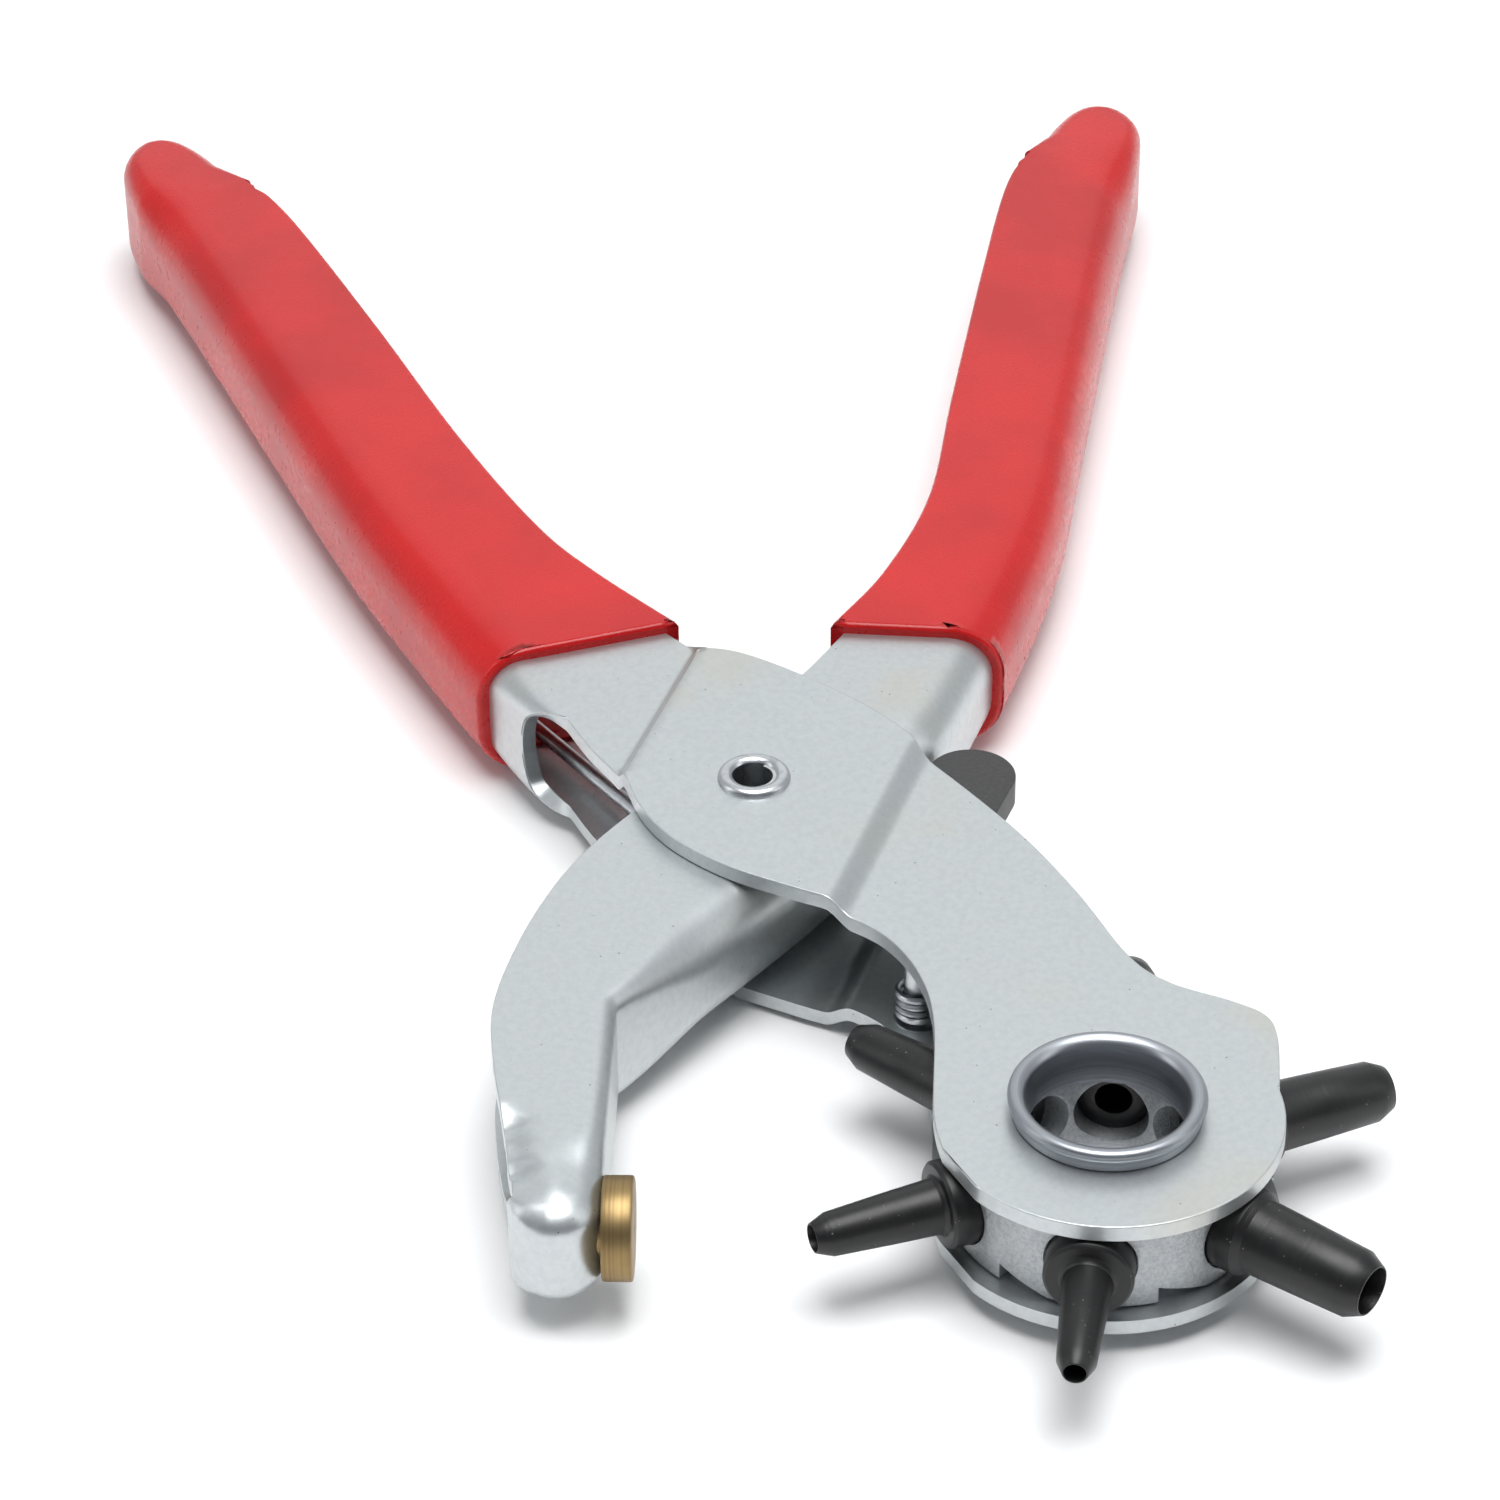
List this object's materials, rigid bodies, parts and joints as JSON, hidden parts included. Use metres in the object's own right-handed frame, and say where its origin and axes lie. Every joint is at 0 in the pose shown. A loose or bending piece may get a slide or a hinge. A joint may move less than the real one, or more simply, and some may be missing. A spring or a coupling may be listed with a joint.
{
  "type": "rotary hole punch",
  "caption": "Hand pliers with a revolving turret of punch tubes that close on a flat brass anvil to cut round holes in leather.",
  "frame": {"origin": "middle of the hollow pivot rivet's bore", "axes": "+Z along the pivot rivet, out of the upper face; +Y towards the handles; the head points to -Y; drawn open"},
  "size_m": [0.1362, 0.2274, 0.0172],
  "materials": {
    "zinc_plate": "satin",
    "rivet_steel": "satin",
    "spring_steel": "satin",
    "die_cast_zinc": "satin",
    "hub_zinc": "satin",
    "red_pvc": "gloss",
    "brass": "satin",
    "black_oxide": "satin",
    "latch_black": "satin"
  },
  "bodies": {
    "turret_side": {"turret_arm": "zinc_plate", "turret_arm_grip": "red_pvc", "pivot_rivet": "rivet_steel", "opening_spring": "spring_steel", "latch_rivet": "rivet_steel", "index_post": "rivet_steel", "index_stop": "rivet_steel", "index_spring": "spring_steel"},
    "anvil_side": {"anvil_arm": "zinc_plate", "anvil_arm_grip": "red_pvc", "anvil": "brass"},
    "turret_wheel": {"turret": "die_cast_zinc", "hub_ring_top": "hub_zinc", "hub_ring_bottom": "hub_zinc", "tube_2_0": "black_oxide", "tube_2_5": "black_oxide", "tube_3_0": "black_oxide", "tube_3_5": "black_oxide", "tube_4_0": "black_oxide", "tube_4_5": "black_oxide"},
    "latch": {"latch_lever": "latch_black"}
  },
  "joints": [
    {"name": "handle_pivot", "type": "hinge", "parent": "turret_side", "child": "anvil_side", "pos_m": [0, 0, 0], "axis": [0, 0, 1], "range_deg": [0, 14.7], "stiffness_Nm_per_rad": 1.5, "springref_deg": -20.05, "deforming": ["opening_spring"]},
    {"name": "turret_spin", "type": "hinge", "parent": "turret_side", "child": "turret_wheel", "pos_m": [0.03169, -0.05071, 0], "axis": [0, 0, 1], "continuous": true, "deforming": ["index_spring"]},
    {"name": "latch_pivot", "type": "hinge", "parent": "turret_side", "child": "latch", "pos_m": [0.01812, -0.00636, 0], "axis": [0, 0, 1], "range_deg": [-30, 3]}
  ]
}
